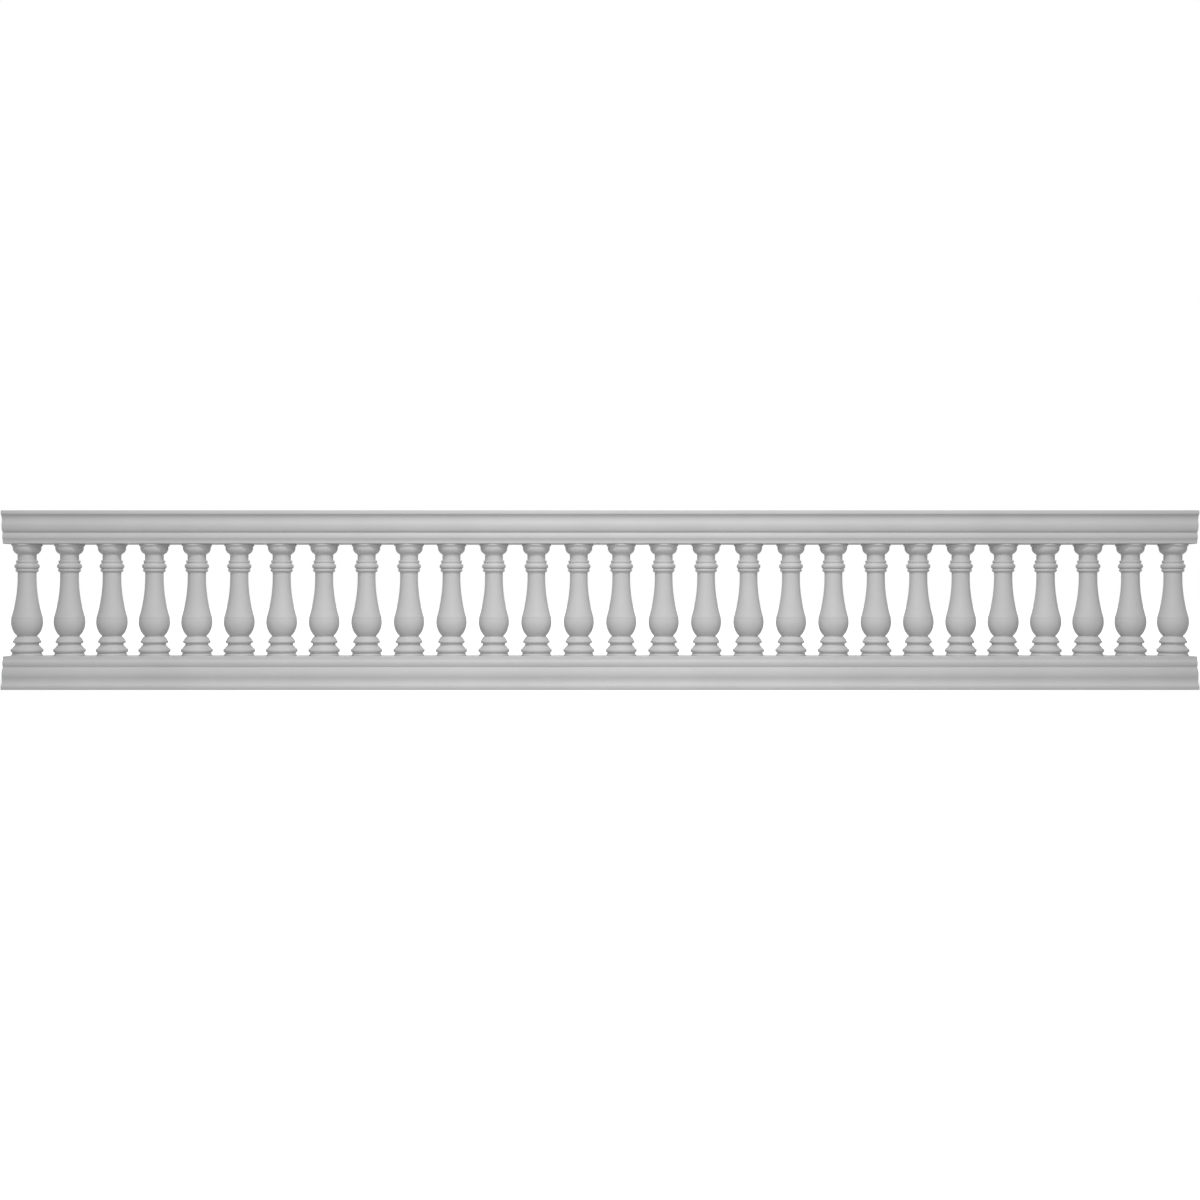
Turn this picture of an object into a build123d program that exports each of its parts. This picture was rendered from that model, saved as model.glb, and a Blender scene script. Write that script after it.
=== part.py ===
from build123d import *
import os

# A run of classical balustrade, in millimetres. +X runs along the rails and +Z is up.
# The origin lies on the ground, under the middle of the bottom rail.
# Turned balusters stand between two rails cut from one moulding, the bottom rail upright
# with its wide lip on the ground and the top rail the other way up. A pipe runs through
# each baluster and ends in a blind socket in each rail.

# The run
RAIL_LENGTH = 3657.6
BALUSTER_PITCH = 131.3
END_MARGIN = 50.0               # least distance from a rail's end to a baluster's axis
BALUSTERS_PER_PIPE_FILE = 4

# Rail moulding, measured from its outer face (the one with the lips) towards the balusters
RAIL_WIDTH = 127.0
RAIL_HEIGHT = 101.6
LIP_HEIGHT = 11.0
LIP_OUTER_RADIUS = 4.0
LIP_INNER_RADIUS = 1.0
COVE_SETBACK = 9.2              # deepest point of the hollow behind the lip's face
COVE_DROP = 17.0                # from the lip's inner edge to that point
BULGE_SETBACK = 6.4
BULGE_DROP = 18.0               # from the hollow's deepest point to the bulge's widest
BULGE_FOOT_SETBACK = 10.6
LEDGE_SETBACK = 13.4            # the ledge that the bulge ends on
QUIRK_SETBACK = 15.6            # the sharp groove between the ledge and the bead
QUIRK_DROP = 5.7
BEAD_SETBACK = 12.2
BEAD_RISE = 12.0
BEAD_FALL = 14.8
FASCIA_SETBACK = 16.4
FASCIA_HEIGHT = 6.1             # up to the inner face, from which the bead and ledge are set
FASCIA_EDGE_RADIUS = 3.5

# Baluster, from the foot up to its widest point
BALUSTER_HEIGHT = 345.0
FOOT_RADIUS = 45.5
FOOT_BAND = 2.6
FOOT_SLOPE_HEIGHT = 6.6
FOOT_SLOPE_BULGE = 0.8          # how far the slope is rounded out from a straight cone
FOOT_GROOVE_RADIUS = 41.2
BASE_TORUS_RADIUS = 48.1
BASE_TORUS_RISE = 8.0           # from the groove to the torus's widest point
BASE_TORUS_FALL = 6.1           # from there to the flare
BASE_FLARE_RADIUS = 43.0        # foot of the flare that stands on the base torus
BASE_FLARE_HEIGHT = 9.8
BASE_FLARE_BULGE = 0.6          # how far the flare is rounded out from a straight cone
LOWER_NECK_RADIUS = 34.6
LOWER_NECK_HEIGHT = 5.7
RING_RADIUS = 41.2
RING_RISE = 5.4                 # from the neck to the ring's widest point
RING_FALL = 3.8
DOME_RADIUS = 38.7              # foot of the dome that stands on the ring
DOME_HEIGHT = 12.8
DOME_BULGE = 1.8
WAIST_RADIUS = 28.2
BELLY_BEND_RADIUS = 39.9        # where the belly's two arcs meet
BELLY_BEND_RISE = 15.2
BELLY_RADIUS = 46.4
BELLY_RISE = 43.5               # from the waist to the widest point
SHOULDER_RADIUS = 45.4          # top of the belly
SHOULDER_RISE = 10.2            # from the widest point to the shoulder
SHOULDER_BAND = 5.9             # the upright band above the belly
SHOULDER_STEP = 0.7             # the fine step in from the shoulder to the vase

# Baluster, from the top face down to the shaft
CAP_RADIUS = 45.2
CAP_BAND = 4.9
CAP_COVE_HEIGHT = 4.0
CAP_COVE_HOLLOW = 0.5
BOWL_RADIUS = 41.5
BOWL_BAND = 3.3                 # the bowl's upright rim
BOWL_HEIGHT = 17.4
COLLAR_RADIUS = 30.9
COLLAR_HEIGHT = 3.0
UPPER_NECK_RADIUS = 27.6
UPPER_NECK_HEIGHT = 18.1
FILLET_RING_RADIUS = 32.0
FILLET_RING_BAND = 5.5
FILLET_RING_COVE = 3.5
UPPER_GROOVE_RADIUS = 30.2
UPPER_TORUS_RADIUS = 36.6
UPPER_TORUS_HEIGHT = 17.2
ASTRAGAL_RADIUS = 33.7
ASTRAGAL_ROUND = 7.1
ASTRAGAL_COVE = 4.6
ASTRAGAL_COVE_RADIUS = 32.3
ASTRAGAL_COVE_HOLLOW = 0.4
SHAFT_RADIUS = 27.3
STRAIGHT_SHAFT = 12.6           # the cylindrical stretch under the astragal

# Pipe and the clearances round it
PIPE_RADIUS = 15.0
PIPE_WALL = 3.0
PIPE_PROUD = 34.4               # how far the pipe stands out of each end of its baluster
PIPE_CLEARANCE = 0.2            # round the pipe, in the baluster's bore and the sockets
SOCKET_END_CLEARANCE = 0.3      # between the pipe's end and the socket's floor

baluster_count = int((RAIL_LENGTH - 2 * END_MARGIN) / BALUSTER_PITCH) + 1
first_baluster_x = -BALUSTER_PITCH * (baluster_count - 1) / 2
baluster_places = [first_baluster_x + BALUSTER_PITCH * i for i in range(baluster_count)]

baluster_foot_z = RAIL_HEIGHT
baluster_top_z = baluster_foot_z + BALUSTER_HEIGHT
top_rail_top_z = baluster_top_z + RAIL_HEIGHT
hole_radius = PIPE_RADIUS + PIPE_CLEARANCE
socket_depth = PIPE_PROUD + SOCKET_END_CLEARANCE


def rail_outline():
    """Section of the moulding, outer face down on z = 0, as a face in the YZ plane."""
    half = RAIL_WIDTH / 2
    hollow_z = LIP_HEIGHT + COVE_DROP
    bulge_z = hollow_z + BULGE_DROP
    fascia_z = RAIL_HEIGHT - FASCIA_HEIGHT
    bead_z = fascia_z - BEAD_FALL
    bead_foot_z = bead_z - BEAD_RISE
    bulge_foot_z = bead_foot_z - QUIRK_DROP
    hollow = (half - COVE_SETBACK, hollow_z)
    bulge = (half - BULGE_SETBACK, bulge_z)
    # The hollow and the bulge meet halfway, in one smooth S
    bend = ((hollow[0] + bulge[0]) / 2, (hollow[1] + bulge[1]) / 2)
    bulge_foot = (half - BULGE_FOOT_SETBACK, bulge_foot_z)
    bead_foot = (half - QUIRK_SETBACK, bead_foot_z)
    bead = (half - BEAD_SETBACK, bead_z)
    fascia_top = (half - FASCIA_SETBACK, fascia_z)
    # The bead falls back to the fascia in the same way
    fall = ((bead[0] + fascia_top[0]) / 2, (bead[1] + fascia_top[1]) / 2)
    with BuildSketch(Plane.YZ) as section:
        with BuildLine():
            outer = Line((0, 0), (half, 0))
            lip = Line(outer @ 1, (half, LIP_HEIGHT))
            TangentArc(hollow, lip @ 1, tangent=(0, -1))
            TangentArc(hollow, bend, tangent=(0, 1))
            TangentArc(bulge, bend, tangent=(0, -1))
            TangentArc(bulge, bulge_foot, tangent=(0, 1))
            ledge = Line(bulge_foot, (half - LEDGE_SETBACK, bulge_foot_z))
            Line(ledge @ 1, bead_foot)
            TangentArc(bead, bead_foot, tangent=(0, -1))
            TangentArc(bead, fall, tangent=(0, 1))
            TangentArc(fascia_top, fall, tangent=(0, -1))
            fascia = Line(fascia_top, (fascia_top[0], RAIL_HEIGHT))
            Line(fascia @ 1, (0, RAIL_HEIGHT))
            mirror(about=Plane.YZ)
        make_face()
        fillet(section.vertices().filter_by(lambda v: v.Y <= 0), LIP_OUTER_RADIUS)
        lip_inner_edges = section.vertices().filter_by(lambda v: abs(v.Y - LIP_HEIGHT) < 0.001)
        fillet(lip_inner_edges, LIP_INNER_RADIUS)
        fascia_edges = section.vertices().filter_by(lambda v: v.Y >= RAIL_HEIGHT)
        fillet(fascia_edges, FASCIA_EDGE_RADIUS)
    return section.sketch


def rail():
    """One rail with its outer face down and a socket at each baluster in its inner face."""
    bar = extrude(rail_outline(), RAIL_LENGTH / 2, both=True)
    socket = Cylinder(hole_radius, socket_depth, align=(Align.CENTER, Align.CENTER, Align.MAX))
    return bar - [Pos(x, 0, RAIL_HEIGHT) * socket for x in baluster_places]


def baluster():
    """One turned baluster on z = 0, bored through for its pipe."""
    with BuildPart() as turned:
        with BuildSketch(Plane.XZ):
            with BuildLine():
                # Foot, base torus and flare
                sole = Line((hole_radius, 0), (FOOT_RADIUS, 0))
                foot = Line(sole @ 1, (FOOT_RADIUS, FOOT_BAND))
                groove_z = FOOT_BAND + FOOT_SLOPE_HEIGHT
                foot_slope = SagittaArc(
                    foot @ 1, (FOOT_GROOVE_RADIUS, groove_z), -FOOT_SLOPE_BULGE
                )
                base_torus = (BASE_TORUS_RADIUS, groove_z + BASE_TORUS_RISE)
                TangentArc(base_torus, foot_slope @ 1, tangent=(0, -1))
                torus_top = TangentArc(
                    base_torus,
                    (BASE_FLARE_RADIUS, base_torus[1] + BASE_TORUS_FALL),
                    tangent=(0, 1),
                )
                neck_z = base_torus[1] + BASE_TORUS_FALL + BASE_FLARE_HEIGHT
                flare = SagittaArc(torus_top @ 1, (LOWER_NECK_RADIUS, neck_z), -BASE_FLARE_BULGE)
                ring_z = neck_z + LOWER_NECK_HEIGHT
                lower_neck = Line(flare @ 1, (LOWER_NECK_RADIUS, ring_z))
                # Ring, dome and waist
                ring = (RING_RADIUS, ring_z + RING_RISE)
                dome_z = ring[1] + RING_FALL
                TangentArc(ring, lower_neck @ 1, tangent=(0, -1))
                ring_top = TangentArc(ring, (DOME_RADIUS, dome_z), tangent=(0, 1))
                waist_z = dome_z + DOME_HEIGHT
                dome = SagittaArc(ring_top @ 1, (WAIST_RADIUS, waist_z), -DOME_BULGE)
                # Belly, shoulder and vase
                belly = (BELLY_RADIUS, waist_z + BELLY_RISE)
                belly_bend = (BELLY_BEND_RADIUS, waist_z + BELLY_BEND_RISE)
                belly_side = TangentArc(belly, belly_bend, tangent=(0, -1))
                TangentArc(belly_bend, dome @ 1, tangent=belly_side % 1)
                shoulder_z = belly[1] + SHOULDER_RISE
                shoulder = TangentArc(belly, (SHOULDER_RADIUS, shoulder_z), tangent=(0, 1))
                step_z = shoulder_z + SHOULDER_BAND
                band = Line(shoulder @ 1, (SHOULDER_RADIUS, step_z))
                step = Line(band @ 1, (SHOULDER_RADIUS - SHOULDER_STEP, step_z))
                # From the top face down: cap, bowl, collar and upper neck
                cap_z = BALUSTER_HEIGHT - CAP_BAND
                top = Line((hole_radius, BALUSTER_HEIGHT), (CAP_RADIUS, BALUSTER_HEIGHT))
                cap = Line(top @ 1, (CAP_RADIUS, cap_z))
                rim_z = cap_z - CAP_COVE_HEIGHT
                cap_cove = SagittaArc(cap @ 1, (BOWL_RADIUS, rim_z), -CAP_COVE_HOLLOW)
                bowl_z = rim_z - BOWL_BAND
                rim = Line(cap_cove @ 1, (BOWL_RADIUS, bowl_z))
                collar_z = bowl_z - BOWL_HEIGHT
                bowl = TangentArc(rim @ 1, (COLLAR_RADIUS, collar_z), tangent=(0, -1))
                upper_neck_z = collar_z - COLLAR_HEIGHT
                collar = Line(bowl @ 1, (UPPER_NECK_RADIUS, upper_neck_z))
                fillet_z = upper_neck_z - UPPER_NECK_HEIGHT
                upper_neck = Line(collar @ 1, (UPPER_NECK_RADIUS, fillet_z))
                # Fillet ring, upper torus and astragal
                fillet_step = Line(upper_neck @ 1, (FILLET_RING_RADIUS, fillet_z))
                fillet_band = Line(
                    fillet_step @ 1, (FILLET_RING_RADIUS, fillet_z - FILLET_RING_BAND)
                )
                torus_z = fillet_z - FILLET_RING_BAND - FILLET_RING_COVE
                fillet_cove = TangentArc(
                    (UPPER_GROOVE_RADIUS, torus_z), fillet_band @ 1, tangent=(0, 1)
                )
                astragal_z = torus_z - UPPER_TORUS_HEIGHT
                upper_torus = ThreePointArc(
                    fillet_cove @ 0,
                    (UPPER_TORUS_RADIUS, (torus_z + astragal_z) / 2),
                    (UPPER_GROOVE_RADIUS, astragal_z),
                )
                astragal_cove_z = astragal_z - ASTRAGAL_ROUND
                astragal = ThreePointArc(
                    upper_torus @ 1,
                    (ASTRAGAL_RADIUS, (astragal_z + astragal_cove_z) / 2),
                    (ASTRAGAL_COVE_RADIUS, astragal_cove_z),
                )
                shaft_top_z = astragal_cove_z - ASTRAGAL_COVE
                astragal_cove = SagittaArc(
                    astragal @ 1, (SHAFT_RADIUS, shaft_top_z), -ASTRAGAL_COVE_HOLLOW
                )
                shaft = Line(astragal_cove @ 1, (SHAFT_RADIUS, shaft_top_z - STRAIGHT_SHAFT))
                TangentArc(shaft @ 1, step @ 1, tangent=(0, -1))
                Line(sole @ 0, top @ 0)
            make_face()
        revolve(axis=Axis.Z)
    return turned.part


def pipe():
    """One pipe on z = 0, long enough to stand out of both ends of its baluster."""
    length = BALUSTER_HEIGHT + 2 * PIPE_PROUD
    standing = (Align.CENTER, Align.CENTER, Align.MIN)
    outside = Cylinder(PIPE_RADIUS, length, align=standing)
    return outside - Cylinder(PIPE_RADIUS - PIPE_WALL, length, align=standing)


def write(name, shape):
    export_step(shape, f"parts/{name}.step")


os.makedirs("parts", exist_ok=True)

bottom_rail = rail()
write("bottom_rail", bottom_rail)
write("top_rail", Pos(0, 0, top_rail_top_z) * Rot(180, 0, 0) * bottom_rail)

one_baluster = baluster()
for number, x in enumerate(baluster_places, start=1):
    write(f"baluster_{number:02d}", Pos(x, 0, baluster_foot_z) * one_baluster)

one_pipe = pipe()
pipe_foot_z = baluster_foot_z - PIPE_PROUD
for first in range(0, baluster_count, BALUSTERS_PER_PIPE_FILE):
    group = baluster_places[first:first + BALUSTERS_PER_PIPE_FILE]
    pipes = Compound([Pos(x, 0, pipe_foot_z) * one_pipe for x in group])
    write(f"core_pipes_{first + 1:02d}_to_{first + len(group):02d}", pipes)
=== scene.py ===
from math import acos, atan2, ceil, cos, pi, radians, sin, tan

import bmesh
import bpy
from mathutils import Matrix, Vector


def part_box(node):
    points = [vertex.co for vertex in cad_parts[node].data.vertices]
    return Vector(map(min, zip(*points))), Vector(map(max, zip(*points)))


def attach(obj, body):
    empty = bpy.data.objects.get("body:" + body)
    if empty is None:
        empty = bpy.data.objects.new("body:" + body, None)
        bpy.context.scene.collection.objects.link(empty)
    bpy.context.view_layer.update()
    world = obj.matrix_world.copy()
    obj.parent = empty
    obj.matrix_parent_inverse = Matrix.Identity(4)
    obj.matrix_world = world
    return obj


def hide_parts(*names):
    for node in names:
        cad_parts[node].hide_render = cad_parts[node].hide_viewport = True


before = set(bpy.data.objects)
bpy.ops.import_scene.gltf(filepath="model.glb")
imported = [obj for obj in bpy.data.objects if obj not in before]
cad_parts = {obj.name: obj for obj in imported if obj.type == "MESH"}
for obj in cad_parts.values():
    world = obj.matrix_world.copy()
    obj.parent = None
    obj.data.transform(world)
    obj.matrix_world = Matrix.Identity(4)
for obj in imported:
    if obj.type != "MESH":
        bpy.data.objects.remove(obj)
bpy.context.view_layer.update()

# Outlines are drawn in millimetres and placed in metres
MM = 0.001
EASED_EDGE = 0.6
RAIL_END_ROUND = 0.4
RAIL_END_ANGLES = (0, 30, 60, 90)
RUN_MARGIN = 0.4                # a long run gets a point this far in from an end that meets a short one
END_MARGIN = RUN_MARGIN / 3     # a rail's long faces start this far behind the rounding of its end
LONG_RUN = 2.4
SHORT_SHARE = 1 / 3             # a neighbour below this share of a long run counts as short
LARGEST_CUT_SHARE = 0.45        # rounding a corner takes no more than this share of a side
LEAST_MITRE = 0.5               # keeps an inset corner from running away at a sharp turn
SAME_HEIGHT = 0.001
LARGEST_ARC_STEP = radians(20)
CHORD_ERROR = 0.04
TURNING_STEPS = 64
SOCKET_STEPS = 48
SHARP_ANGLE = radians(32)

# Rail moulding, measured from its outer face (the one with the lips) towards the balusters
LIP_HEIGHT = 11.0
LIP_OUTER_RADIUS = 4.0
LIP_INNER_RADIUS = 1.0
COVE_SETBACK = 9.2
COVE_DROP = 17.0
BULGE_SETBACK = 6.4
BULGE_DROP = 18.0
BULGE_FOOT_SETBACK = 10.6
LEDGE_SETBACK = 13.4
QUIRK_SETBACK = 15.6
QUIRK_DROP = 5.7
BEAD_SETBACK = 12.2
BEAD_RISE = 12.0
BEAD_FALL = 14.8
FASCIA_SETBACK = 16.4
FASCIA_HEIGHT = 6.1
FASCIA_EDGE_RADIUS = 3.5

# Baluster, from the foot up to its shoulder
FOOT_RADIUS = 45.5
FOOT_BAND = 2.6
FOOT_SLOPE_HEIGHT = 6.6
FOOT_SLOPE_BULGE = 0.8
FOOT_GROOVE_RADIUS = 41.2
BASE_TORUS_RADIUS = 48.1
BASE_TORUS_RISE = 8.0
BASE_TORUS_FALL = 6.1
BASE_FLARE_RADIUS = 43.0
BASE_FLARE_HEIGHT = 9.8
BASE_FLARE_BULGE = 0.6
LOWER_NECK_RADIUS = 34.6
LOWER_NECK_HEIGHT = 5.7
RING_RADIUS = 41.2
RING_RISE = 5.4
RING_FALL = 3.8
DOME_RADIUS = 38.7
DOME_HEIGHT = 12.8
DOME_BULGE = 1.8
WAIST_RADIUS = 28.2
BELLY_BEND_RADIUS = 39.9
BELLY_BEND_RISE = 15.2
BELLY_RADIUS = 46.4
BELLY_RISE = 43.5
SHOULDER_RADIUS = 45.4
SHOULDER_RISE = 10.2
SHOULDER_BAND = 5.9
SHOULDER_STEP = 0.7

# Baluster, from the top face down to the shaft
CAP_RADIUS = 45.2
CAP_BAND = 4.9
CAP_COVE_HEIGHT = 4.0
CAP_COVE_HOLLOW = 0.5
BOWL_RADIUS = 41.5
BOWL_BAND = 3.3
BOWL_HEIGHT = 17.4
COLLAR_RADIUS = 30.9
COLLAR_HEIGHT = 3.0
UPPER_NECK_RADIUS = 27.6
UPPER_NECK_HEIGHT = 18.1
FILLET_RING_RADIUS = 32.0
FILLET_RING_BAND = 5.5
FILLET_RING_COVE = 3.5
UPPER_GROOVE_RADIUS = 30.2
UPPER_TORUS_RADIUS = 36.6
UPPER_TORUS_HEIGHT = 17.2
ASTRAGAL_RADIUS = 33.7
ASTRAGAL_ROUND = 7.1
ASTRAGAL_COVE = 4.6
ASTRAGAL_COVE_RADIUS = 32.3
ASTRAGAL_COVE_HOLLOW = 0.4
SHAFT_RADIUS = 27.3
STRAIGHT_SHAFT = 12.6

# Bore and blind sockets for the core pipes
HOLE_RADIUS = 15.2
SOCKET_DEPTH = 34.7

# Gelcoat and pipe: noise scales in cycles a metre, bump heights in millimetres
NOISE_MIDDLE = (0.3, 0.7)       # where most values of a noise pattern lie
CLOUD_SCALE = 6
CLOUD_GREYS = (0.582, 0.618)
SPECKLE_SCALE = 900
SPECKLE_TINTS = (0.96, 1.04)
PATCH_SCALE = 14
GELCOAT_ROUGHNESS = (0.5, 0.64)
GELCOAT_SPECULAR = 0.3
GELCOAT_BUMPS = ((26, 0.5), (260, 0.09), (1500, 0.012))  # (scale, height): waves, orange peel, grit
PIPE_STRETCH = 0.02             # draws the noise out along the pipe
PIPE_LINE_SCALE = 1200
PIPE_CLOUD_SCALE = 30
PIPE_GREYS = ((0.385, 0.380, 0.370, 1), (0.415, 0.410, 0.400, 1))
PIPE_ROUGHNESS = (0.3, 0.45)
PIPE_LINE_HEIGHT = 0.02

# Light and camera, in metres and watts. A lamp is (distance in front, rise, side, power).
LAMPS = {"key": (2.4, 3.0, 0.6, 64), "fill": (3.4, 1.6, 1, 26)}
SKY_LIGHT = 0.4
FLOOR_GREY = 0.56
FLOOR_HALF_SIDE = 60
FLOOR_X_SHARE = 0.4             # a distance along X counts for this much, as the run is long
WHITE_FLOOR_REACH = (0.7, 1.8)  # the floor whitens from the first to the second distance
WHITE_FLOOR_GLOW = (0.6, 1)     # its own glow at those distances, as the camera sees it
CAMERA_DISTANCE = 4.482
CAMERA_ANGLE = radians(45)
SENSOR_WIDTH = 36

UP = (0, 1)
DOWN = (0, -1)


# Outlines: lists of (across, up) points, with the round stretches made as arcs

def arc_about(centre, start, end, turn):
    """Points after start, to end, round centre, with turn 1 anticlockwise and -1 clockwise."""
    first, last = start - centre, end - centre
    from_angle = atan2(first.y, first.x)
    sweep = (atan2(last.y, last.x) - from_angle) * turn % (2 * pi)
    finest = 2 * acos(max(0, 1 - CHORD_ERROR / first.length))
    steps = max(2, ceil(sweep / min(LARGEST_ARC_STEP, finest)))
    return [
        tuple(centre + first.length * Vector((cos(angle), sin(angle))))
        for angle in (from_angle + turn * sweep * i / steps for i in range(1, steps + 1))
    ]


def arc_leaving(start, heading, end):
    """Points after start, to end, on the circle that leaves start along heading."""
    start, heading, end = Vector(start), Vector(heading).normalized(), Vector(end)
    chord = end - start
    side = Vector((-heading.y, heading.x))
    radius = chord.length_squared / (2 * chord.dot(side))
    return arc_about(start + side * radius, start, end, turn=1 if radius > 0 else -1)


def arc_reaching(start, end, heading):
    """Points after start, to end, on the circle that reaches end along heading."""
    back = arc_leaving(end, (-heading[0], -heading[1]), start)
    return back[-2::-1] + [tuple(end)]


def arc_through(start, middle, end):
    """Points after start, to end, on the circle through all three."""
    a, b, c = Vector(start), Vector(middle), Vector(end)
    d = 2 * (a.x * (b.y - c.y) + b.x * (c.y - a.y) + c.x * (a.y - b.y))
    centre = Vector((
        (a.length_squared * (b.y - c.y) + b.length_squared * (c.y - a.y)
         + c.length_squared * (a.y - b.y)) / d,
        (a.length_squared * (c.x - b.x) + b.length_squared * (a.x - c.x)
         + c.length_squared * (b.x - a.x)) / d,
    ))
    return arc_about(centre, a, c, turn=1 if d > 0 else -1)


def arc_bulged(start, end, bulge):
    """Points after start, to end, on an arc that swells by bulge to the right of the way there."""
    start, end = Vector(start), Vector(end)
    way = (end - start).normalized()
    return arc_through(start, (start + end) / 2 + bulge * Vector((way.y, -way.x)), end)


def heading_at_end(start, heading, end):
    """Heading with which the arc that leaves start along heading reaches end."""
    chord = (Vector(end) - Vector(start)).normalized()
    return 2 * chord.dot(Vector(heading)) * chord - Vector(heading)


def halfway(start, end):
    return ((start[0] + end[0]) / 2, (start[1] + end[1]) / 2)


def round_corner(before, corner, after, radius):
    """The points that stand for one corner once it is cut back and rounded."""
    before, corner, after = Vector(before), Vector(corner), Vector(after)
    back, on = before - corner, after - corner
    inside = back.angle(on)
    cut = min(radius / tan(inside / 2), LARGEST_CUT_SHARE * min(back.length, on.length))
    start = corner + back.normalized() * cut
    return [tuple(start)] + arc_leaving(start, corner - start, corner + on.normalized() * cut)


def ease_corners(outline, radius):
    """A closed outline with each of its sharp corners rounded."""
    eased = []
    for i, corner in enumerate(outline):
        before, after = outline[i - 1], outline[(i + 1) % len(outline)]
        turn = pi - (Vector(before) - Vector(corner)).angle(Vector(after) - Vector(corner))
        eased += round_corner(before, corner, after, radius) if turn > SHARP_ANGLE else [corner]
    return eased


def margin_runs(outline):
    """A closed outline in which each long run has a point close to any end that meets short ones."""
    points = [Vector(point) for point in outline]
    margined = []
    for i, start in enumerate(points):
        end, after = points[(i + 1) % len(points)], points[(i + 2) % len(points)]
        run = end - start
        margined.append(tuple(start))
        if run.length > LONG_RUN:
            step = run.normalized() * RUN_MARGIN
            if (start - points[i - 1]).length < run.length * SHORT_SHARE:
                margined.append(tuple(start + step))
            if (after - end).length < run.length * SHORT_SHARE:
                margined.append(tuple(end - step))
    return margined


def rail_outline(half, height):
    """Closed outline across the rail, with its outer face at 0 and its inner face at height."""
    edge = (half, 0)
    lip = (half, LIP_HEIGHT)
    hollow = (half - COVE_SETBACK, lip[1] + COVE_DROP)
    bulge = (half - BULGE_SETBACK, hollow[1] + BULGE_DROP)
    bend = halfway(hollow, bulge)
    fascia = (half - FASCIA_SETBACK, height - FASCIA_HEIGHT)
    bead = (half - BEAD_SETBACK, fascia[1] - BEAD_FALL)
    fall = halfway(bead, fascia)
    quirk = (half - QUIRK_SETBACK, bead[1] - BEAD_RISE)
    ledge = (half - LEDGE_SETBACK, quirk[1] - QUIRK_DROP)
    bulge_foot = (half - BULGE_FOOT_SETBACK, ledge[1])
    inner_edge = (fascia[0], height)
    outline = round_corner((0, 0), edge, lip, LIP_OUTER_RADIUS)
    first_of_hollow = arc_reaching(lip, hollow, UP)
    outline += round_corner(edge, lip, first_of_hollow[0], LIP_INNER_RADIUS)
    outline += first_of_hollow
    outline += arc_leaving(hollow, UP, bend)
    outline += arc_reaching(bend, bulge, UP)
    outline += arc_leaving(bulge, UP, bulge_foot)
    outline += [ledge, quirk]
    outline += arc_reaching(quirk, bead, UP)
    outline += arc_leaving(bead, UP, fall)
    outline += arc_reaching(fall, fascia, UP)
    outline += round_corner(fascia, inner_edge, (0, height), FASCIA_EDGE_RADIUS)
    return outline + [(-across, up) for across, up in reversed(outline)]


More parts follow.
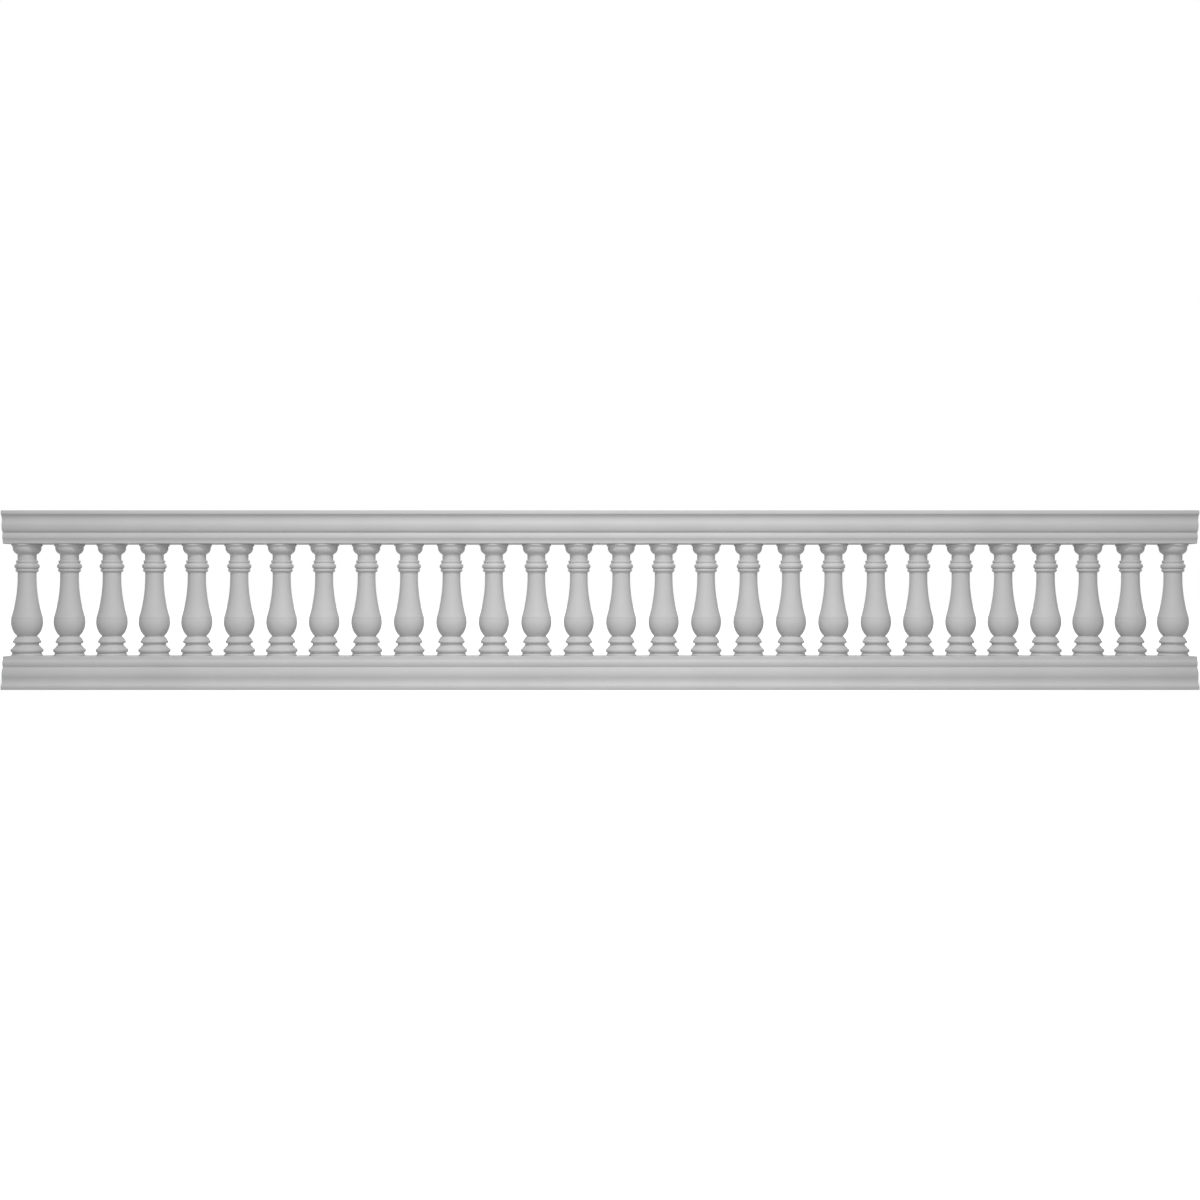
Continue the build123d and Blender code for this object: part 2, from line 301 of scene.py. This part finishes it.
def baluster_outline(height):
    """Closed outline of a turned baluster, up its outside and down its bore."""
    # Foot, base torus, flare, ring, dome, waist and belly
    foot = (FOOT_RADIUS, FOOT_BAND)
    groove = (FOOT_GROOVE_RADIUS, foot[1] + FOOT_SLOPE_HEIGHT)
    torus = (BASE_TORUS_RADIUS, groove[1] + BASE_TORUS_RISE)
    flare = (BASE_FLARE_RADIUS, torus[1] + BASE_TORUS_FALL)
    neck = (LOWER_NECK_RADIUS, flare[1] + BASE_FLARE_HEIGHT)
    ring_foot = (LOWER_NECK_RADIUS, neck[1] + LOWER_NECK_HEIGHT)
    ring = (RING_RADIUS, ring_foot[1] + RING_RISE)
    dome = (DOME_RADIUS, ring[1] + RING_FALL)
    waist = (WAIST_RADIUS, dome[1] + DOME_HEIGHT)
    belly_bend = (BELLY_BEND_RADIUS, waist[1] + BELLY_BEND_RISE)
    belly = (BELLY_RADIUS, waist[1] + BELLY_RISE)
    shoulder = (SHOULDER_RADIUS, belly[1] + SHOULDER_RISE)
    shoulder_step = (SHOULDER_RADIUS, shoulder[1] + SHOULDER_BAND)
    vase_foot = (SHOULDER_RADIUS - SHOULDER_STEP, shoulder_step[1])
    # From the top face down: cap, bowl, collar, neck, fillet ring, torus, astragal and shaft
    cap = (CAP_RADIUS, height - CAP_BAND)
    rim = (BOWL_RADIUS, cap[1] - CAP_COVE_HEIGHT)
    bowl = (BOWL_RADIUS, rim[1] - BOWL_BAND)
    collar = (COLLAR_RADIUS, bowl[1] - BOWL_HEIGHT)
    neck_top = (UPPER_NECK_RADIUS, collar[1] - COLLAR_HEIGHT)
    neck_foot = (UPPER_NECK_RADIUS, neck_top[1] - UPPER_NECK_HEIGHT)
    fillet = (FILLET_RING_RADIUS, neck_foot[1])
    fillet_foot = (FILLET_RING_RADIUS, fillet[1] - FILLET_RING_BAND)
    upper_groove = (UPPER_GROOVE_RADIUS, fillet_foot[1] - FILLET_RING_COVE)
    upper_torus = (UPPER_TORUS_RADIUS, upper_groove[1] - UPPER_TORUS_HEIGHT / 2)
    astragal_top = (UPPER_GROOVE_RADIUS, upper_groove[1] - UPPER_TORUS_HEIGHT)
    astragal = (ASTRAGAL_RADIUS, astragal_top[1] - ASTRAGAL_ROUND / 2)
    astragal_foot = (ASTRAGAL_COVE_RADIUS, astragal_top[1] - ASTRAGAL_ROUND)
    shaft_top = (SHAFT_RADIUS, astragal_foot[1] - ASTRAGAL_COVE)
    shaft_foot = (SHAFT_RADIUS, shaft_top[1] - STRAIGHT_SHAFT)
    # The way up
    outline = [(HOLE_RADIUS, 0), (FOOT_RADIUS, 0), foot]
    outline += arc_bulged(foot, groove, FOOT_SLOPE_BULGE)
    outline += arc_reaching(groove, torus, UP)
    outline += arc_leaving(torus, UP, flare)
    outline += arc_bulged(flare, neck, BASE_FLARE_BULGE)
    outline += [ring_foot]
    outline += arc_reaching(ring_foot, ring, UP)
    outline += arc_leaving(ring, UP, dome)
    outline += arc_bulged(dome, waist, DOME_BULGE)
    outline += arc_reaching(waist, belly_bend, -heading_at_end(belly, DOWN, belly_bend))
    outline += arc_reaching(belly_bend, belly, UP)
    outline += arc_leaving(belly, UP, shoulder)
    outline += [shoulder_step, vase_foot]
    outline += arc_reaching(vase_foot, shaft_foot, UP)
    outline += [shaft_top]
    outline += arc_bulged(shaft_top, astragal_foot, -ASTRAGAL_COVE_HOLLOW)
    outline += arc_through(astragal_foot, astragal, astragal_top)
    outline += arc_through(astragal_top, upper_torus, upper_groove)
    outline += arc_leaving(upper_groove, UP, fillet_foot)
    outline += [fillet, neck_foot, neck_top, collar]
    outline += arc_reaching(collar, bowl, UP)
    outline += [rim]
    outline += arc_bulged(rim, cap, -CAP_COVE_HOLLOW)
    return outline + [(CAP_RADIUS, height), (HOLE_RADIUS, height)]


# Meshes

def finished_mesh(name, bm, material):
    """The mesh that a bmesh becomes, smooth but for its sharp edges."""
    mesh = bpy.data.meshes.new(name)
    bmesh.ops.recalc_face_normals(bm, faces=bm.faces)
    bm.to_mesh(mesh)
    bm.free()
    mesh.shade_smooth()
    mesh.set_sharp_from_angle(angle=SHARP_ANGLE)
    mesh.materials.append(material)
    return mesh


def dressed(name, mesh, node):
    """Makes an object that stands for a CAD node and rides on the one body."""
    piece = bpy.data.objects.new(name, mesh)
    bpy.context.scene.collection.objects.link(piece)
    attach(piece, "root")
    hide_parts(node)


def turned_mesh(outline, material):
    """The outline turned about the Z axis, with its foot on z = 0."""
    bm = bmesh.new()
    turns = []
    for step in range(TURNING_STEPS):
        angle = 2 * pi * step / TURNING_STEPS
        turns.append([
            bm.verts.new((radius * cos(angle) * MM, radius * sin(angle) * MM, up * MM))
            for radius, up in outline
        ])
    for step, here in enumerate(turns):
        there = turns[(step + 1) % TURNING_STEPS]
        for i in range(len(outline)):
            j = (i + 1) % len(outline)
            bm.faces.new((here[i], there[i], there[j], here[j]))
    return finished_mesh("turned_baluster", bm, material)


def inset_outline(outline, inset):
    """A closed outline drawn in by inset, point for point."""
    drawn = []
    for i, point in enumerate(outline):
        before = (Vector(point) - Vector(outline[i - 1])).normalized()
        after = (Vector(outline[(i + 1) % len(outline)]) - Vector(point)).normalized()
        way = (before + after).normalized()
        inwards = Vector((-way.y, way.x))
        mitre = max(LEAST_MITRE, way.dot(after))
        drawn.append(tuple(Vector(point) + inwards * inset / mitre))
    return drawn


def sink_socket(bm, corners, centre, inward):
    """Fills the flat between four corners, the first at low X and high Y and the rest following
    anticlockwise, but for a round blind socket about centre."""
    quarter = SOCKET_STEPS // 4
    # The rim starts in the first corner's direction, so that a quarter of it faces each side
    around = [3 * pi / 4 + 2 * pi * step / SOCKET_STEPS for step in range(SOCKET_STEPS)]
    rim, floor = [
        [bm.verts.new(centre + MM * Vector((HOLE_RADIUS * cos(angle), HOLE_RADIUS * sin(angle),
                                            -inward * depth)))
         for angle in around]
        for depth in (0, SOCKET_DEPTH)
    ]
    for side in range(4):
        arc = [rim[(side * quarter + step) % SOCKET_STEPS] for step in range(quarter + 1)]
        bm.faces.new([corners[side], corners[(side + 1) % 4]] + arc[::-1])
    for step in range(SOCKET_STEPS):
        after = (step + 1) % SOCKET_STEPS
        bm.faces.new((rim[step], rim[after], floor[after], floor[step]))
    bm.faces.new(floor)


def moulded_rail(node, outer_z, inward, socket_places, material):
    """Makes the rail for a CAD node, with its outer face at outer_z and a socket at each baluster.
    Inward is 1 where the balusters are above the rail and -1 where they are below it."""
    low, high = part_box(node)
    height = (high.z - low.z) / MM
    section = margin_runs(ease_corners(rail_outline(high.y / MM, height), EASED_EDGE))
    on_inner_face = [i for i, (across, up) in enumerate(section) if abs(up - height) < SAME_HEIGHT]
    inner_run = max(on_inner_face[:-1], key=lambda i: section[i][0] - section[i + 1][0])
    middles = [(here + there) / 2 for here, there in zip(socket_places, socket_places[1:])]
    # Each end is rounded a little, then closed by a flat. A step is (inset, distance from the end).
    end_steps = [
        (RAIL_END_ROUND * (1 - cos(radians(angle))), RAIL_END_ROUND * (1 - sin(radians(angle))))
        for angle in RAIL_END_ANGLES
    ]
    end_steps.append((RAIL_END_ROUND + END_MARGIN, 0))
    stations = [(low.x + back * MM, inset) for inset, back in reversed(end_steps)]
    stations += [(x, 0) for x in middles]
    stations += [(high.x - back * MM, inset) for inset, back in end_steps]
    bm = bmesh.new()
    rings = [
        [bm.verts.new((x, across * MM, outer_z + inward * up * MM))
         for across, up in inset_outline(section, inset)]
        for x, inset in stations
    ]
    for here, there in zip(rings, rings[1:]):
        inside = [x for x in socket_places if here[0].co.x < x < there[0].co.x]
        for i in range(len(section)):
            j = (i + 1) % len(section)
            if i == inner_run and inside:
                centre = Vector((inside[0], 0, outer_z + inward * height * MM))
                sink_socket(bm, (here[i], here[j], there[j], there[i]), centre, inward)
            else:
                bm.faces.new((here[i], here[j], there[j], there[i]))
    bm.faces.new(rings[0])
    bm.faces.new(rings[-1])
    dressed("moulded_" + node, finished_mesh("moulded_" + node, bm, material), node)


# Materials

def node_material(name):
    """An empty node material, its node maker and its link maker."""
    material = bpy.data.materials.new(name)
    material.use_nodes = True
    tree = material.node_tree
    tree.nodes.clear()
    return material, tree.nodes.new, tree.links.new


def noise(new, link, place, scale, detail=2):
    """A noise pattern of the given scale, in cycles a metre, read at place."""
    pattern = new("ShaderNodeTexNoise")
    pattern.inputs["Scale"].default_value = scale
    pattern.inputs["Detail"].default_value = detail
    link(place, pattern.inputs["Vector"])
    return pattern.outputs["Fac"]


def ranged(new, link, value, given, wanted):
    """Value, taken from one (low, high) range to another."""
    spread = new("ShaderNodeMapRange")
    spread.inputs["From Min"].default_value, spread.inputs["From Max"].default_value = given
    spread.inputs["To Min"].default_value, spread.inputs["To Max"].default_value = wanted
    link(value, spread.inputs["Value"])
    return spread.outputs["Result"]


def combined(new, link, operation, one, other):
    """The result of a math operation, such as a product, on two values."""
    node = new("ShaderNodeMath")
    node.operation = operation
    link(one, node.inputs[0])
    link(other, node.inputs[1])
    return node.outputs["Value"]


def gelcoat():
    """Satin pale grey gelcoat: faint clouding, a fine speckle, patches of slightly different
    roughness, and a moulded skin with waves, orange peel and grit."""
    material, new, link = node_material("gelcoat")
    place = new("ShaderNodeTexCoord").outputs["Object"]
    clouds = noise(new, link, place, CLOUD_SCALE, detail=3)
    speckle = noise(new, link, place, SPECKLE_SCALE)
    patches = noise(new, link, place, PATCH_SCALE, detail=4)
    cloud_tint = ranged(new, link, clouds, NOISE_MIDDLE, CLOUD_GREYS)
    speckle_tint = ranged(new, link, speckle, NOISE_MIDDLE, SPECKLE_TINTS)
    tint = combined(new, link, "MULTIPLY", cloud_tint, speckle_tint)
    roughness = ranged(new, link, patches, NOISE_MIDDLE, GELCOAT_ROUGHNESS)
    shader = new("ShaderNodeBsdfPrincipled")
    shader.inputs["Specular IOR Level"].default_value = GELCOAT_SPECULAR
    link(tint, shader.inputs["Base Color"])
    link(roughness, shader.inputs["Roughness"])
    normal = None
    for scale, bump_height in GELCOAT_BUMPS:
        bump = new("ShaderNodeBump")
        bump.inputs["Strength"].default_value = 1
        bump.inputs["Distance"].default_value = bump_height * MM
        link(noise(new, link, place, scale), bump.inputs["Height"])
        if normal:
            link(normal, bump.inputs["Normal"])
        normal = bump.outputs["Normal"]
    link(normal, shader.inputs["Normal"])
    out = new("ShaderNodeOutputMaterial")
    link(shader.outputs["BSDF"], out.inputs["Surface"])
    return material


def pipe_plastic():
    """Warm grey extruded pipe, with fine drawn lines along it."""
    material, new, link = node_material("pipe_plastic")
    stretch = new("ShaderNodeMapping")
    stretch.inputs["Scale"].default_value = (1, 1, PIPE_STRETCH)
    link(new("ShaderNodeTexCoord").outputs["Object"], stretch.inputs["Vector"])
    lines = noise(new, link, stretch.outputs["Vector"], PIPE_LINE_SCALE)
    clouds = noise(new, link, stretch.outputs["Vector"], PIPE_CLOUD_SCALE)
    tint = new("ShaderNodeMix")
    tint.data_type = "RGBA"
    tint.inputs["A"].default_value, tint.inputs["B"].default_value = PIPE_GREYS
    link(clouds, tint.inputs["Factor"])
    bump = new("ShaderNodeBump")
    bump.inputs["Strength"].default_value = 1
    bump.inputs["Distance"].default_value = PIPE_LINE_HEIGHT * MM
    link(lines, bump.inputs["Height"])
    shader = new("ShaderNodeBsdfPrincipled")
    link(tint.outputs["Result"], shader.inputs["Base Color"])
    link(ranged(new, link, lines, NOISE_MIDDLE, PIPE_ROUGHNESS), shader.inputs["Roughness"])
    link(bump.outputs["Normal"], shader.inputs["Normal"])
    out = new("ShaderNodeOutputMaterial")
    link(shader.outputs["BSDF"], out.inputs["Surface"])
    return material


gelcoat_material = gelcoat()
pipe_material = pipe_plastic()

baluster_nodes = sorted(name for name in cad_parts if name.startswith("baluster"))
baluster_low, baluster_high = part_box(baluster_nodes[0])
baluster_height = (baluster_high.z - baluster_low.z) / MM
turned = turned_mesh(
    margin_runs(ease_corners(baluster_outline(baluster_height), EASED_EDGE)), gelcoat_material
)
baluster_places = []
for node in baluster_nodes:
    low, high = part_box(node)
    baluster_places.append((low.x + high.x) / 2)
    mesh = turned.copy()
    mesh.transform(Matrix.Translation((baluster_places[-1], 0, low.z)))
    dressed("turned_" + node, mesh, node)

ground_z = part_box("bottom_rail")[0].z
top_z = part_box("top_rail")[1].z
moulded_rail("bottom_rail", ground_z, 1, baluster_places, gelcoat_material)
moulded_rail("top_rail", top_z, -1, baluster_places, gelcoat_material)

for name, cad_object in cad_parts.items():
    if name.startswith("core_pipes"):
        cad_object.data.materials.clear()
        cad_object.data.materials.append(pipe_material)


# Stage: floor, light and camera

def seen_directly(new, link):
    """A factor that is 1 for camera, glossy and transmission rays and 0 for the rest of the light."""
    path = new("ShaderNodeLightPath").outputs
    camera_or_glossy = combined(new, link, "MAXIMUM", path["Is Camera Ray"], path["Is Glossy Ray"])
    return combined(new, link, "MAXIMUM", camera_or_glossy, path["Is Transmission Ray"])


def pale_floor():
    """Makes a wide floor that throws light back up, keeps the shadow near the object and is seen
    as white away from it."""
    bm = bmesh.new()
    bmesh.ops.create_grid(bm, x_segments=1, y_segments=1, size=FLOOR_HALF_SIDE)
    mesh = bpy.data.meshes.new("floor")
    bm.to_mesh(mesh)
    bm.free()
    floor = bpy.data.objects.new("floor", mesh)
    bpy.context.scene.collection.objects.link(floor)
    material, new, link = node_material("floor")
    paper = new("ShaderNodeBsdfDiffuse")
    paper.inputs["Color"].default_value = (FLOOR_GREY, FLOOR_GREY, FLOOR_GREY, 1)
    drawn_in = new("ShaderNodeMapping")
    drawn_in.inputs["Scale"].default_value = (FLOOR_X_SHARE, 1, 1)
    link(new("ShaderNodeTexCoord").outputs["Object"], drawn_in.inputs["Vector"])
    from_middle = new("ShaderNodeVectorMath")
    from_middle.operation = "LENGTH"
    link(drawn_in.outputs["Vector"], from_middle.inputs[0])
    whitening = ranged(new, link, from_middle.outputs["Value"], WHITE_FLOOR_REACH, WHITE_FLOOR_GLOW)
    white = new("ShaderNodeEmission")
    link(combined(new, link, "MULTIPLY", whitening, seen_directly(new, link)), white.inputs["Strength"])
    both = new("ShaderNodeAddShader")
    out = new("ShaderNodeOutputMaterial")
    link(paper.outputs["BSDF"], both.inputs[0])
    link(white.outputs["Emission"], both.inputs[1])
    link(both.outputs["Shader"], out.inputs["Surface"])
    mesh.materials.append(material)


def pale_world():
    """Even pale light from all round, white where the camera looks past the object."""
    world = bpy.data.worlds.new("pale_world")
    world.use_nodes = True
    tree = world.node_tree
    tree.nodes.clear()
    new, link = tree.nodes.new, tree.links.new
    light = new("ShaderNodeBackground")
    light.inputs["Color"].default_value = (1, 1, 1, 1)
    light.inputs["Strength"].default_value = SKY_LIGHT
    white = new("ShaderNodeBackground")
    white.inputs["Color"].default_value = (1, 1, 1, 1)
    white.inputs["Strength"].default_value = 1
    mix = new("ShaderNodeMixShader")
    out = new("ShaderNodeOutputWorld")
    link(seen_directly(new, link), mix.inputs["Fac"])
    link(light.outputs["Background"], mix.inputs[1])
    link(white.outputs["Background"], mix.inputs[2])
    link(mix.outputs["Shader"], out.inputs["Surface"])
    bpy.context.scene.world = world


def square_lamp(name, place, side, power, target):
    """Makes a square area lamp that faces target and is hidden from the camera."""
    lamp = bpy.data.lights.new(name, "AREA")
    lamp.energy = power
    lamp.size = side
    item = bpy.data.objects.new(name, lamp)
    item.location = place
    item.visible_camera = False
    item.rotation_mode = "QUATERNION"
    item.rotation_quaternion = (Vector(target) - Vector(place)).to_track_quat("-Z", "Y")
    bpy.context.scene.collection.objects.link(item)


def photo_camera(height):
    """Makes the camera, square on from the front at the given height."""
    camera = bpy.data.cameras.new("camera")
    camera.sensor_width = SENSOR_WIDTH
    camera.lens = camera.sensor_width / 2 / tan(CAMERA_ANGLE / 2)
    place = bpy.data.objects.new("camera", camera)
    place.location = (0, -CAMERA_DISTANCE, height)
    place.rotation_euler = (radians(90), 0, 0)
    bpy.context.scene.collection.objects.link(place)
    bpy.context.scene.camera = place


middle_height = (baluster_low.z + baluster_high.z) / 2
pale_floor()
pale_world()
for name, (distance, rise, side, power) in LAMPS.items():
    square_lamp(name, (0, -distance, middle_height + rise), side, power, (0, 0, middle_height))
photo_camera(middle_height)
bpy.context.scene.view_settings.view_transform = "Standard"
